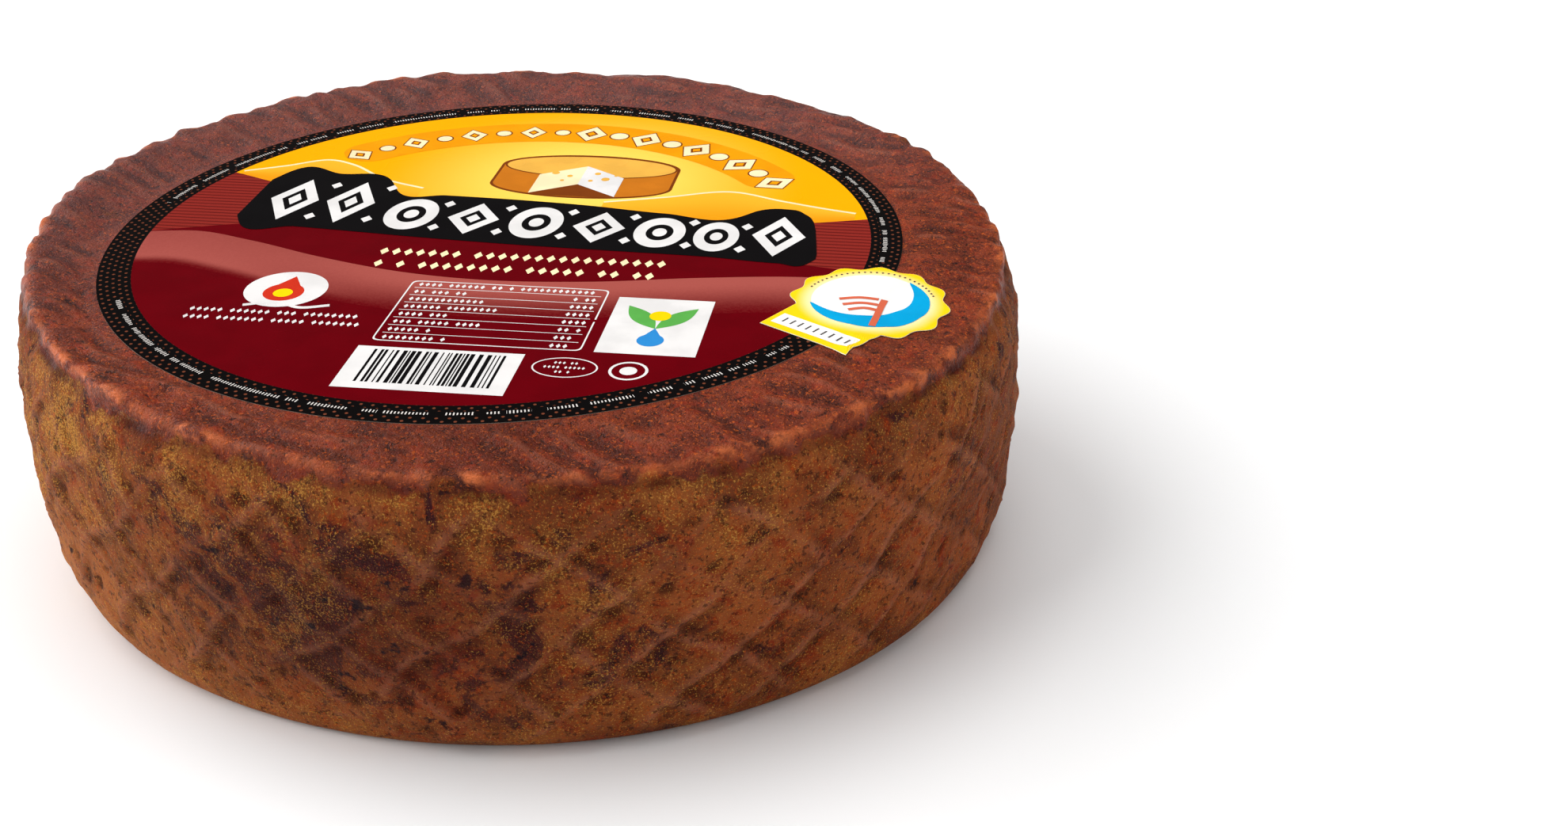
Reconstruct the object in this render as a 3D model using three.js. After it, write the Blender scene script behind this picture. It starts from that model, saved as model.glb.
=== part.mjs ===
// A whole wheel of cured goat's-milk cheese, as it is sold: the wheel with its oiled and
// spice-rubbed rind, a large round paper label stuck on its top face, and a small seal
// sticker that overlaps the label's edge and the bare rind beside it.
//
// Units are millimetres and +Z is up. The origin is the centre of the face that the wheel
// stands on. +X is the way a line of print runs across the main label.

import * as THREE from "three";

// The wheel: two flat faces joined by a bulging flank with rounded edges.
const WHEEL_HEIGHT = 77.5;
const FOOT_RADIUS = 116.5; // the flat face it stands on
const TOP_RADIUS = 119.5; // the flat face that carries the labels
const BELLY_RADIUS = 128;
const BELLY_HEIGHT = 41; // where the flank is widest
const FLANK_FULLNESS = 2.5; // exponent of the flank's curve: higher is squarer at the edges
const FLANK_STEPS = 18;
const WHEEL_SIDES = 72;

// Both labels are cut from the same stock, given here with its layer of glue.
const PAPER_THICKNESS = 0.25;

// The main label: a round sheet, stuck on a little off the wheel's centre.
const MAIN_LABEL_RADIUS = 103;
const MAIN_LABEL_X = -1.35;
const MAIN_LABEL_Y = -3.25;
const MAIN_LABEL_SIDES = 96;

// The seal: a scalloped rosette with a square-cut tag on one side, laid over the label's edge.
const SEAL_X = 95.85;
const SEAL_Y = -33.4;
const ROSETTE_RADIUS = 18.8; // to half the depth of a scallop
const SCALLOP_COUNT = 12;
const SCALLOP_DEPTH = 1.7; // from the tip of a scallop to the bottom of the notch beside it
const SCALLOP_ANGLE = THREE.MathUtils.degToRad(-4); // where one of the tips points
const TAG_ANGLE = THREE.MathUtils.degToRad(-122);
const TAG_REACH = 26.3; // from the rosette's centre to the tag's straight end
const TAG_WIDTH = 25.5;
const SEAL_SIDES = 192;

// The flank's radius at a share s of its way up, from -1 at the foot through 0 at the belly
// to 1 at the top: a superellipse whose flat end is the foot or the top face.
function flankRadius(s) {
  const flatRadius = s < 0 ? FOOT_RADIUS : TOP_RADIUS;
  const bulge = Math.sqrt(1 - Math.abs(s) ** FLANK_FULLNESS);
  return flatRadius + (BELLY_RADIUS - flatRadius) * bulge;
}

// The wheel's half section as points (radius, height), from the axis at the foot to the
// axis at the top. The sine packs the flank's steps into its two rounded edges.
function wheelProfile() {
  const profile = [new THREE.Vector2(0, 0)];
  for (let i = 0; i <= FLANK_STEPS; i++) {
    const s = Math.sin(Math.PI * (i / FLANK_STEPS - 0.5));
    const span = s < 0 ? BELLY_HEIGHT : WHEEL_HEIGHT - BELLY_HEIGHT;
    profile.push(new THREE.Vector2(flankRadius(s), BELLY_HEIGHT + s * span));
  }
  profile.push(new THREE.Vector2(0, WHEEL_HEIGHT));
  return profile;
}

// The distance from the rosette's centre to the seal's edge at an angle: the wavy rim of
// the rosette, or the tag's end or side where the tag reaches past it.
function sealReach(angle) {
  const wave = Math.cos(SCALLOP_COUNT * (angle - SCALLOP_ANGLE));
  const rosette = ROSETTE_RADIUS + (SCALLOP_DEPTH / 2) * wave;
  const forward = Math.cos(angle - TAG_ANGLE);
  const sideways = Math.abs(Math.sin(angle - TAG_ANGLE));
  if (forward <= 0) return rosette;
  const tag = Math.min(TAG_REACH / forward, TAG_WIDTH / 2 / sideways);
  return Math.max(rosette, tag);
}

// The seal's outline, walked round its centre from the tag's middle line. The tag's two
// corners get points of their own, so that they stay sharp.
function sealOutline() {
  const corner = Math.atan2(TAG_WIDTH / 2, TAG_REACH);
  const turns = [corner, 2 * Math.PI - corner];
  for (let i = 0; i < SEAL_SIDES; i++) turns.push((2 * Math.PI * i) / SEAL_SIDES);
  turns.sort((a, b) => a - b);
  return turns.map((turn) => {
    const angle = TAG_ANGLE + turn;
    const reach = sealReach(angle);
    return new THREE.Vector2(reach * Math.cos(angle), reach * Math.sin(angle));
  });
}

function namedMesh(name, geometry, finish) {
  const mesh = new THREE.Mesh(geometry, new THREE.MeshStandardMaterial(finish));
  mesh.name = name;
  return mesh;
}

// The cheese is one pressed piece: paste and rind are the same body.
function makeWheel() {
  const turned = new THREE.LatheGeometry(wheelProfile(), WHEEL_SIDES);
  turned.rotateX(Math.PI / 2); // from the lathe's own Y axis to +Z
  return namedMesh("wheel", turned, { color: 0x6e3a20, roughness: 0.5, metalness: 0 });
}

// A flat sheet of label stock, cut to an outline and lying at a height.
function makeSheet(name, outline, curveSides, x, y, z, finish) {
  const cut = { depth: PAPER_THICKNESS, bevelEnabled: false, curveSegments: curveSides };
  const sheet = namedMesh(name, new THREE.ExtrudeGeometry(outline, cut), finish);
  sheet.position.set(x, y, z);
  return sheet;
}

function makeMainLabel() {
  const round = new THREE.Shape();
  round.absarc(0, 0, MAIN_LABEL_RADIUS, 0, 2 * Math.PI, false);
  const finish = { color: 0x6b0018, roughness: 0.35, metalness: 0 };
  const sides = MAIN_LABEL_SIDES;
  return makeSheet("main_label", round, sides, MAIN_LABEL_X, MAIN_LABEL_Y, WHEEL_HEIGHT, finish);
}

function makeSealLabel() {
  const outline = new THREE.Shape(sealOutline());
  const finish = { color: 0xffd63a, roughness: 0.4, metalness: 0 };
  const underside = WHEEL_HEIGHT + PAPER_THICKNESS; // it lies on the main label
  return makeSheet("seal_label", outline, 1, SEAL_X, SEAL_Y, underside, finish);
}

const cheese = new THREE.Group();
cheese.add(makeWheel(), makeMainLabel(), makeSealLabel());

export default cheese;
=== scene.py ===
import math

import bmesh
import bpy
import numpy as np
from mathutils import Matrix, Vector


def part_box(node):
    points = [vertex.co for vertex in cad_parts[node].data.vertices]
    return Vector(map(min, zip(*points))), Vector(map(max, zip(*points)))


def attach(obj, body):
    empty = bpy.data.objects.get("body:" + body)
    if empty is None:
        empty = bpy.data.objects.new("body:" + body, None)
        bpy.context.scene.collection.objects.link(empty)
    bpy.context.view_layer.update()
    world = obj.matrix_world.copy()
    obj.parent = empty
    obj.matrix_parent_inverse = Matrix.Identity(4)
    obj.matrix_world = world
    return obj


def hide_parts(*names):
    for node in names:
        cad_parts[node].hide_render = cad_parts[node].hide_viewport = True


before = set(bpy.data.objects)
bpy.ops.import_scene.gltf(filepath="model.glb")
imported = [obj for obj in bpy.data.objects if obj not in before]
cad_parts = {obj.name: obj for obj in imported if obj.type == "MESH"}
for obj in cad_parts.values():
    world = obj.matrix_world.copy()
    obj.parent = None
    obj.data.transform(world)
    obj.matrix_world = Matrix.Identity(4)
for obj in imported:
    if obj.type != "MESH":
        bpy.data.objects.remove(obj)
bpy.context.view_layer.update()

# ---------------------------------------------------------------------------------------------
# The wheel: one body of goat's-milk curd, pressed in a plaited band between two grooved boards,
# then salted, rubbed with oil and paprika and matured until the rind is dark. The band leaves a
# lattice of strand marks round the side, the board leaves straight ridges across the top, and
# curd squeezed out between them leaves a thin lip round the rim. Lengths are in millimetres.

MM = 0.001
WHEEL_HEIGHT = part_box("wheel")[1].z / MM
BELLY_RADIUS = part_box("wheel")[1].x / MM
FOOT_RADIUS = 116.5
TOP_RADIUS = 119.5
BELLY_HEIGHT = 41
FLANK_FULLNESS = 2.5

label_low, label_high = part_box("main_label")
LABEL_X, LABEL_Y, _ = (label_low + label_high) / 2 / MM
LABEL_RADIUS = (label_high.x - label_low.x) / 2 / MM
SEAL_X, SEAL_Y = 95.85, -33.4

RIND_COLUMNS = 720
RIND_STEP = 1.06          # between rows on the bare rind
STRAND_COUNT = 32         # lattice diamonds round the side
STRAND_RISE = 22.5        # height of one diamond
STRAND_GAP = 16.7         # between neighbouring strand edges, square to them
BOARD_PITCH = 8.5         # between the ridges across the top
BOARD_ANGLE = math.radians(160)
LIP_RADIUS = 121.9
LIP_HEIGHT = 76.4
STAIN_AND_SHADE_TURN = math.radians(265)   # middle of the dark stained stretch of the side, which also holds painted shade
STAIN_AND_SHADE_HEIGHT = 38
DUSK_TURN = math.radians(278)     # where the top's rim is darkest
DUST_AND_LIGHT_TURN = math.radians(190)    # where the side holds most ochre dust, painted lighter towards the left lamp
RUBBED_AND_LIT_TURN = math.radians(201)   # where the side is palest towards its foot: scuffed rind, and painted light from the left lamp


def ease(value, low, high):
    """0 below low, 1 above high, and the smooth cubic 3t^2 - 2t^3 between."""
    t = np.clip((value - low) / (high - low), 0, 1)
    return t * t * (3 - 2 * t)


def ripples(place, wavelength, seed, waves=28):
    """Smooth random relief of unit spread: the sum of plane waves whose directions and phases are
    random and whose lengths lie within a third of the given one."""
    random = np.random.default_rng(seed)
    heading = random.normal(size=(waves, 3))
    heading /= np.linalg.norm(heading, axis=1, keepdims=True)
    heading *= 2 * np.pi / wavelength * random.uniform(0.75, 1.35, (waves, 1))
    angle = place @ heading.T + random.uniform(0, 2 * np.pi, waves)
    return np.cos(angle).sum(-1) * math.sqrt(2 / waves)


def top_height(radius):
    """Height of the plain wheel's upper surface: flat, then the flank's superellipse turned round,
    s = (1 - (radius past the flat / bulge)^2)^(1 / fullness)."""
    past = np.clip((radius - TOP_RADIUS) / (BELLY_RADIUS - TOP_RADIUS), 0, 0.999)
    s = (1 - past ** 2) ** (1 / FLANK_FULLNESS)
    return BELLY_HEIGHT + s * (WHEEL_HEIGHT - BELLY_HEIGHT)


def half_section():
    """The plain half section as radius, height and length run, from the foot's centre to the top's:
    flat, then radius = flat + bulge * sqrt(1 - |s|^fullness) as s climbs from -1 to 1, then flat."""
    s = np.sin(np.linspace(-np.pi / 2, np.pi / 2, 400))
    flat = np.where(s < 0, FOOT_RADIUS, TOP_RADIUS)
    span = np.where(s < 0, BELLY_HEIGHT, WHEEL_HEIGHT - BELLY_HEIGHT)
    bulge = (BELLY_RADIUS - flat) * np.sqrt(1 - np.abs(s) ** FLANK_FULLNESS)
    radius = np.concatenate([[0], flat + bulge, [0]])
    height = np.concatenate([[0], BELLY_HEIGHT + s * span, [WHEEL_HEIGHT]])
    run = np.concatenate([[0], np.cumsum(np.hypot(np.diff(radius), np.diff(height)))])
    return radius, height, run


def from_label(x, y):
    """Distance outwards from the main label's edge."""
    return np.hypot(x - LABEL_X, y - LABEL_Y) - LABEL_RADIUS


def waver(turn, level, cos_1, sin_1, cos_2, sin_2):
    """A constant, and a cosine and sine of the turn and of twice the turn."""
    once = cos_1 * np.cos(turn) + sin_1 * np.sin(turn)
    return level + once + cos_2 * np.cos(2 * turn) + sin_2 * np.sin(2 * turn)


def settled(place):
    """The wheel out of true, as it has set on its shelf: oval one way at the foot and another at the
    rim, spread at the foot, and with a rim that stands higher round the back and left than at the
    right. Each is a waver of the turn, eased in where the surface may move."""
    x, y, z = np.moveaxis(place, -1, 0)
    radius, turn = np.hypot(x, y), np.arctan2(y, x)
    outside = from_label(x, y)
    upper = ease(z, 10, 72)
    spread = upper * waver(turn, 2.5, 1.5, -0.1, 0.9, -2.6)
    spread = spread + (1 - upper) * waver(turn, -1.2, 1.4, -0.3, 4.1, -0.5)
    spread = spread + 3.6 * np.clip(1 - z / BELLY_HEIGHT, 0, 1) ** 3 * ease(radius, 60, 115)
    from_axis = np.clip(radius / FOOT_RADIUS, 0, 1)
    spread = spread * np.where(z > WHEEL_HEIGHT - 4, ease(outside, -1, 14), from_axis)
    climb = np.clip((z - BELLY_HEIGHT) / (WHEEL_HEIGHT - BELLY_HEIGHT), 0, 1) * ease(outside, 0, 16)
    rise = waver(turn, 1.7, -2.4, 1.95, 0.55, 0.7)
    grow = 1 + spread / np.maximum(radius, 1)
    return np.stack([x * grow, y * grow, z + rise * climb], -1)


def rind_marks(place):
    """How far the rind stands off the plain wheel at each point, in mm, and how strongly each kind
    of mark shows there. Strand edges follow the lines turn * count / 2 pi +- height / rise = a whole
    number, board ridges follow a cosine across BOARD_ANGLE, and ripples break both up. The stained
    stretch, which also holds painted shade, the ochre and pale stretches, which also hold painted
    light from the left, the darker stretch and the painted sheen are humps of turn and height."""
    x, y, z = np.moveaxis(place, -1, 0)
    radius, turn = np.hypot(x, y), np.arctan2(y, x)
    bare = np.where(z > WHEEL_HEIGHT - 3, ease(from_label(x, y), 0, 5), 1) * ease(z, 0.3, 6)
    bare = bare * (1 - 0.7 * (1 - ease(np.hypot(x - SEAL_X, y - SEAL_Y), 17, 24)) * (z > 70))

    side = ease(z, 4, 10) * (1 - ease(z, 66, 72))
    showing = side * (0.3 + 0.7 * ease(ripples(place, 22, 13), -0.9, 0.6))
    around = turn * STRAND_COUNT / (2 * np.pi)
    rising = around + z / STRAND_RISE + 0.07 * ripples(place, 40, 11)
    falling = around - z / STRAND_RISE + 0.07 * ripples(place, 40, 12)
    strand, sunk = 0, 0
    for line in (rising, falling):
        off = (line - np.round(line)) * STRAND_GAP
        strand = np.maximum(strand, np.exp(-(off / 1.15) ** 2))
        # Beside each strand the rind is sunk; the colour there is painted shade.
        sunk = sunk + np.exp(-((off - 2.9) / 1.7) ** 2)
    strand = strand * showing
    sunk = sunk * showing
    pits = side * ease(ripples(place, 7, 14), 1.2, 2.2)

    across = y * math.cos(BOARD_ANGLE) - x * math.sin(BOARD_ANGLE)
    board = np.cos(2 * np.pi * across / BOARD_PITCH + 1.0 * ripples(place, 34, 15))
    on_top = ease(z + 0.7 * ripples(place, 12, 22) + 0.6 * ripples(place, 5, 24), 71.5, 76)
    ridged = ease(z, 68, 76) * ease(ripples(place, 18, 16), -1.8, 1.0)
    # The board mark also colours the top: painted highlight on its crests, painted shade in its
    # grooves.
    board = (1.4 * (0.5 + 0.5 * board) ** 1.6 - 0.55) * ridged

    from_lip = np.hypot(radius - LIP_RADIUS, z - LIP_HEIGHT)
    under_lip = np.hypot(radius - LIP_RADIUS - 1.8, z - LIP_HEIGHT + 3.0)
    torn = ease(ripples(place, 14, 17), -0.5, 1.4)
    # The lip's mark also brightens the crest's colour: scuffed rind, and a painted highlight.
    lip = np.exp(-(from_lip / 1.35) ** 2) * (0.3 + 0.7 * torn)
    # The recess mark also darkens the colour beneath the lip: painted shade.
    recess = np.exp(-(under_lip / 1.5) ** 2) * (0.4 + 0.6 * torn)

    bearing = np.mod(turn, 2 * np.pi)
    # The stained stretch in the middle of the side: real stains, and painted shade over them.
    stain_and_painted_shade = np.exp(-((bearing - STAIN_AND_SHADE_TURN) / 0.46) ** 2 - ((z - STAIN_AND_SHADE_HEIGHT) / 30) ** 2)
    dusk = np.exp(-((bearing - DUSK_TURN) / 0.36) ** 2)
    # Ochre dust, laid more thickly towards the left lamp and near the foot, where it is painted light.
    dust_and_painted_light = 0.25 + 0.45 * ease(z, 20, 66) + 0.3 * (1 - ease(z, 2, 22))
    dust_and_painted_light = dust_and_painted_light + 0.3 * np.cos(turn - DUST_AND_LIGHT_TURN) + 0.15 * ripples(place, 40, 23)
    # Paler low on the left: scuffed rind, and painted light from the left lamp.
    rubbed_and_lit = np.clip(0.2 + 0.8 * np.cos(turn - RUBBED_AND_LIT_TURN), 0, 1) ** 2
    rubbed_and_lit = rubbed_and_lit * ease(bearing, math.radians(115), math.radians(190))
    rubbed_and_lit = rubbed_and_lit * (1 - ease(z, 14, 70)) * (1 - 0.8 * stain_and_painted_shade)
    # Painted sheen: the top greyer towards its back.
    painted_sheen = 0.15 + 0.85 * ease(y - 0.6 * x, -60, 80)

    uneven = 0.45 * ripples(place, 75, 18) + 0.22 * ripples(place, 30, 19)
    lumps = 0.16 * ripples(place, 11, 20) + 0.09 * ripples(place, 5, 21)
    stands = uneven + lumps + 0.5 * board + 1.35 * lip - 0.75 * recess
    stands = stands + 0.6 * strand - 0.38 * sunk - 0.5 * pits
    return {"stands": stands * bare, "strand": strand, "sunk": np.clip(sunk * 0.6 + pits, 0, 1),
            "board": board * bare, "lip": lip, "recess": recess, "on_top": on_top, "dust_and_painted_light": dust_and_painted_light,
            "stain_and_painted_shade": stain_and_painted_shade, "rubbed_and_lit": rubbed_and_lit, "painted_sheen": painted_sheen, "dusk": dusk}


def rind_grid():
    """The rind as a grid of points, rows up the half section and columns round the axis, each moved
    along the plain section's normal by what rind_marks says, then settled, and never below the
    ground."""
    radius, height, run = half_section()
    foot_run, top_run = FOOT_RADIUS, run[-1] - TOP_RADIUS
    under_label = top_run + TOP_RADIUS - LABEL_RADIUS + 10
    rows = np.concatenate([np.linspace(8, foot_run - 3, 5),
                           np.arange(foot_run - 1, under_label, RIND_STEP),
                           np.linspace(under_label + 4, run[-1] - 8, 6)])
    slope_r = np.interp(rows, run, np.gradient(radius, run))
    slope_z = np.interp(rows, run, np.gradient(height, run))
    length = np.hypot(slope_r, slope_z)
    turn = np.linspace(0, 2 * np.pi, RIND_COLUMNS, endpoint=False)
    out = np.stack([np.cos(turn), np.sin(turn), np.zeros_like(turn)], -1)
    up = np.array([0, 0, 1])
    plain = np.interp(rows, run, radius)[:, None, None] * out + \
        np.interp(rows, run, height)[:, None, None] * up
    normal = (slope_z / length)[:, None, None] * out - (slope_r / length)[:, None, None] * up
    marks = rind_marks(plain)
    grid = settled(plain + normal * marks["stands"][..., None])
    grid[..., 2] = np.maximum(grid[..., 2], 0)
    return grid, marks


def closed_body(name, grid, low_pole, high_pole):
    """A mesh from a grid that closes round its columns, with one more point joined to its first row
    and one to its last, so that it holds no gap."""
    rows, columns = grid.shape[:2]
    number = np.arange(rows * columns).reshape(rows, columns)
    beside = np.roll(number, -1, axis=1)
    quads = np.stack([number[:-1], beside[:-1], beside[1:], number[1:]], -1).reshape(-1, 4)
    low, high = rows * columns, rows * columns + 1
    under = np.stack([beside[0], number[0], np.full(columns, low)], -1)
    over = np.stack([number[-1], beside[-1], np.full(columns, high)], -1)
    points = np.concatenate([grid.reshape(-1, 3), [low_pole, high_pole]]) * MM
    mesh = bpy.data.meshes.new(name)
    mesh.from_pydata(points.tolist(), [], quads.tolist() + under.tolist() + over.tolist())
    mesh.polygons.foreach_set("use_smooth", np.ones(len(mesh.polygons), bool))
    piece = bpy.data.objects.new(name, mesh)
    bpy.context.scene.collection.objects.link(piece)
    return piece


def write_marks(piece, marks, poles):
    """Stores each array of marks as a number per point, with zeros for the poles."""
    for name, values in marks.items():
        stored = piece.data.attributes.new(name, "FLOAT", "POINT")
        flat = np.concatenate([values.ravel(), np.zeros(poles)]).astype(np.float32)
        stored.data.foreach_set("value", flat)


def linear(hex_colour):
    """A hex colour as linear light, each channel through the sRGB curve, and opaque."""
    channels = [int(hex_colour[i:i + 2], 16) / 255 for i in (1, 3, 5)]
    return [c / 12.92 if c <= 0.04045 else ((c + 0.055) / 1.055) ** 2.4 for c in channels] + [1]


class Finish:
    """A material being made up: one Principled shader, fed by nodes that read the piece's place."""

    def __init__(self, name, **constants):
        self.material = bpy.data.materials.new(name)
        self.material.use_nodes = True
        self.nodes = self.material.node_tree.nodes
        self.shader = self.nodes["Principled BSDF"]
        self.place = self.nodes.new("ShaderNodeTexCoord").outputs["Object"]
        for socket, value in constants.items():
            self.shader.inputs[socket.replace("_", " ")].default_value = value

    def feed(self, socket, value):
        """Links another node's output to the socket, or types a plain value into it."""
        if isinstance(value, bpy.types.NodeSocket):
            self.material.node_tree.links.new(value, socket)
        else:
            socket.default_value = value

    def grain(self, size, detail=2.0, rough=0.5, place=None, warp=0.0):
        """Noise whose blotches are about size millimetres across, mostly between 0.3 and 0.7."""
        noise = self.nodes.new("ShaderNodeTexNoise")
        self.feed(noise.inputs["Vector"], place or self.place)
        noise.inputs["Scale"].default_value = 1 / (size * MM)
        noise.inputs["Detail"].default_value = detail
        noise.inputs["Roughness"].default_value = rough
        noise.inputs["Distortion"].default_value = warp
        return noise.outputs["Fac"]

    def share(self, value, low, high, top=1.0, bottom=0.0):
        """Bottom where value is at low, rising smoothly to top where it is at high."""
        ranged = self.nodes.new("ShaderNodeMapRange")
        ranged.interpolation_type = "SMOOTHSTEP"
        for socket, given in zip(ranged.inputs, (value, low, high, bottom, top)):
            self.feed(socket, given)
        return ranged.outputs["Result"]

    def sum(self, kind, *values):
        """One arithmetic node, such as MULTIPLY or ARCTAN2, on up to three values."""
        node = self.nodes.new("ShaderNodeMath")
        node.operation = kind
        for socket, given in zip(node.inputs, values):
            self.feed(socket, given)
        return node.outputs["Value"]

    def mark(self, name):
        """A number stored on the mesh's points."""
        node = self.nodes.new("ShaderNodeAttribute")
        node.attribute_name = name
        return node.outputs["Fac"]

    def touch(self, name, amount):
        """A mark's strength, times amount."""
        return self.sum("MULTIPLY", self.mark(name), amount)

    def over(self, under, top, cover):
        """Colour top laid over colour under, as thickly as cover says."""
        mix = self.nodes.new("ShaderNodeMix")
        mix.data_type = "RGBA"
        self.feed(mix.inputs["Factor"], cover)
        for side, colour in (("A", under), ("B", top)):
            self.feed(mix.inputs[side], linear(colour) if isinstance(colour, str) else colour)
        return mix.outputs["Result"]

    def bump(self, height, depth, below=None, strength=1.0):
        """Small relief: height 1 stands depth millimetres above height 0."""
        node = self.nodes.new("ShaderNodeBump")
        node.inputs["Strength"].default_value = strength
        node.inputs["Distance"].default_value = depth * MM
        self.feed(node.inputs["Height"], height)
        if below is not None:
            self.feed(node.inputs["Normal"], below)
        return node.outputs["Normal"]

    def set(self, socket, value):
        """Feeds one of the shader's own sockets."""
        self.feed(self.shader.inputs[socket], value)


def rind_finish(name, gloss):
    """Crumbly ochre and russet side, stained in places, with dull pink strand edges, and a smoother
    oiled red-brown top whose rim is scuffed bright and carries a painted highlight on its crest. The
    side holds painted shade in its grooves, its stained middle and under the lip, and painted light
    towards the left lamp; the top holds painted highlights on its board ridges, painted shade in the
    grooves between them, and a painted sheen towards its back. Both finishes hold all of it, so
    that they meet without a seam, and differ in how strongly they reflect."""
    rind = Finish(name, Specular_IOR_Level=gloss)
    patch = rind.grain(24, 3, 0.6)
    blotch = rind.grain(9, 5, 0.65, warp=0.5)
    crumb = rind.grain(1.6, 3, 0.7)
    sand = rind.grain(0.45, 2, 0.7)
    fleck = rind.grain(0.75, 2, 0.6, warp=0.8)

    # Ochre dust cover, thicker towards the left lamp and the foot as painted light, and its grains
    # with it.
    dust_and_light_cover = rind.share(rind.grain(12, 5, 0.7, warp=0.6), 0.36, 0.66)
    dust_and_light_cover = rind.sum("MULTIPLY", dust_and_light_cover, rind.mark("dust_and_painted_light"))
    more_in_dust_and_light = rind.sum("MULTIPLY", rind.sum("SUBTRACT", dust_and_light_cover, 0.35), 0.14)
    grainy = rind.sum("ADD", sand, more_in_dust_and_light)
    stain = rind.sum("ADD", rind.grain(15, 5, 0.68, warp=0.8), rind.touch("stain_and_painted_shade", 0.17))
    side = rind.over("#6f361b", "#934c25", rind.share(patch, 0.38, 0.6))
    red = rind.sum("ADD", rind.grain(6, 4, 0.65, warp=0.8), rind.touch("stain_and_painted_shade", 0.05))
    side = rind.over(side, "#82230a", rind.share(red, 0.52, 0.63, 0.7))
    # Ochre dust, partly painted light.
    side = rind.over(side, "#875925", rind.sum("MULTIPLY", dust_and_light_cover, 0.62))
    side = rind.over(side, "#230c19", rind.share(stain, 0.58, 0.68, 0.88))
    # Paler low on the left: scuffed rind, and painted light from the left lamp.
    side = rind.over(side, "#b06c3b", rind.touch("rubbed_and_lit", 0.8))
    side = rind.over(side, "#9c5e44", rind.touch("strand", 0.66))
    # Painted shade in the grooves beside the strands and in the pits.
    side = rind.over(side, "#240b06", rind.touch("sunk", 0.72))
    side = rind.over(side, "#cc923f", rind.share(grainy, 0.55, 0.65, 0.68))
    side = rind.over(side, "#180804", rind.share(crumb, 0.46, 0.36, 0.65))
    side = rind.over(side, "#b84c10", rind.share(fleck, 0.57, 0.67, 0.5))
    # Painted shade over the stained middle of the side.
    side = rind.over(side, "#38120f", rind.touch("stain_and_painted_shade", 0.5))
    black = rind.sum("ADD", rind.grain(7, 5, 0.62), rind.touch("stain_and_painted_shade", 0.09))
    side = rind.over(side, "#0f0d16", rind.share(black, 0.67, 0.73, 0.85))

    top = rind.over("#62230f", "#84351a", rind.share(blotch, 0.4, 0.62))
    top = rind.over(top, "#8e2a0a", rind.share(rind.grain(4.5, 4, 0.65, warp=1.0), 0.5, 0.63, 0.65))
    top = rind.over(top, "#3c1512", rind.share(rind.grain(7, 4, 0.65, warp=0.5), 0.55, 0.66, 0.5))
    # Painted highlight on the board ridges' crests, and painted shade in the grooves between them.
    top = rind.over(top, "#90503a", rind.share(rind.mark("board"), 0.3, 0.85, 0.55))
    top = rind.over(top, "#2a0e08", rind.share(rind.mark("board"), -0.1, -0.55, 0.62))
    top = rind.over(top, "#1e0a06", rind.share(crumb, 0.45, 0.35, 0.8))
    top = rind.over(top, "#cc5c18", rind.share(fleck, 0.57, 0.67, 0.7))
    top = rind.over(top, "#96502c", rind.share(sand, 0.56, 0.67, 0.4))
    # Painted sheen, greyer towards the back of the top.
    top = rind.over(top, "#6a6268", rind.touch("painted_sheen", 0.25))
    top = rind.over(top, "#2e1108", rind.touch("dusk", 0.26))

    ragged = rind.sum("MULTIPLY", rind.sum("SUBTRACT", blotch, 0.5), 2.0)
    edge = rind.sum("ADD", rind.mark("on_top"), ragged)
    colour = rind.over(side, top, rind.share(edge, 0.3, 0.75))
    # Painted shade in the recess under the lip.
    colour = rind.over(colour, "#380f0a", rind.touch("recess", 0.85))
    # The lip's crest brightened in patches: scuffed rind, and painted highlight.
    worn_and_highlit = rind.sum("MULTIPLY", rind.mark("lip"), rind.share(rind.grain(4.5, 4, 0.6), 0.38, 0.6, 0.95))
    rind.set("Base Color", rind.over(colour, "#d8713f", worn_and_highlit))

    oil = rind.touch("on_top", -0.28)
    rough = rind.sum("ADD", rind.share(crumb, 0.3, 0.7, 0.2), 0.55)
    rind.set("Roughness", rind.sum("ADD", rough, oil))
    relief = rind.bump(blotch, 1.0)
    relief = rind.bump(crumb, 1.0, relief)
    relief = rind.bump(sand, 0.32, relief)
    rind.set("Normal", relief)
    return rind.material


def oiled_faces(marks):
    """The finish of each face: 1 where it lies on the oiled top and 0 on the dry side, then 0 for
    the fan that closes the foot and 1 for the one that closes the top."""
    oiled = (marks["on_top"][:-1] > 0.5).astype(np.int32).ravel()
    columns = marks["on_top"].shape[1]
    return np.concatenate([oiled, np.zeros(columns, np.int32), np.ones(columns, np.int32)])


rind_points, marks = rind_grid()
wheel = closed_body("cheese_wheel", rind_points, (0, 0, 0), (0, 0, WHEEL_HEIGHT))
write_marks(wheel, marks, 2)
wheel.data.materials.append(rind_finish("dry_side_rind", 0.05))
wheel.data.materials.append(rind_finish("oiled_top_rind", 0.1))
wheel.data.polygons.foreach_set("material_index", oiled_faces(marks))
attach(wheel, "root")
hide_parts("wheel")

# ---------------------------------------------------------------------------------------------
# The main label: a round of coated paper, printed in several inks and stuck flat on the top
# face. The inks are laid as thin flat patches, one on another. Its print is plain ornament:
# lozenges and rules stand where a real label has its lettering.

PAPER = 0.11                  # thickness of the sheet
INK = 0.012                   # each layer of ink lies this far above the one below
RING_INNER = 94.8             # inside edge of the black border
INKED_RADIUS = 96             # the coloured inks run this far, under the border
INK_SHINE = 0.02              # how strongly every ink reflects


def between(inner, outer, steps=1):
    """A ruled patch: straight steps from each point of one line to its match on the other."""
    share = np.linspace(0, 1, steps + 1)[:, None, None]
    return np.asarray(inner, float) * (1 - share) + np.asarray(outer, float) * share


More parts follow.
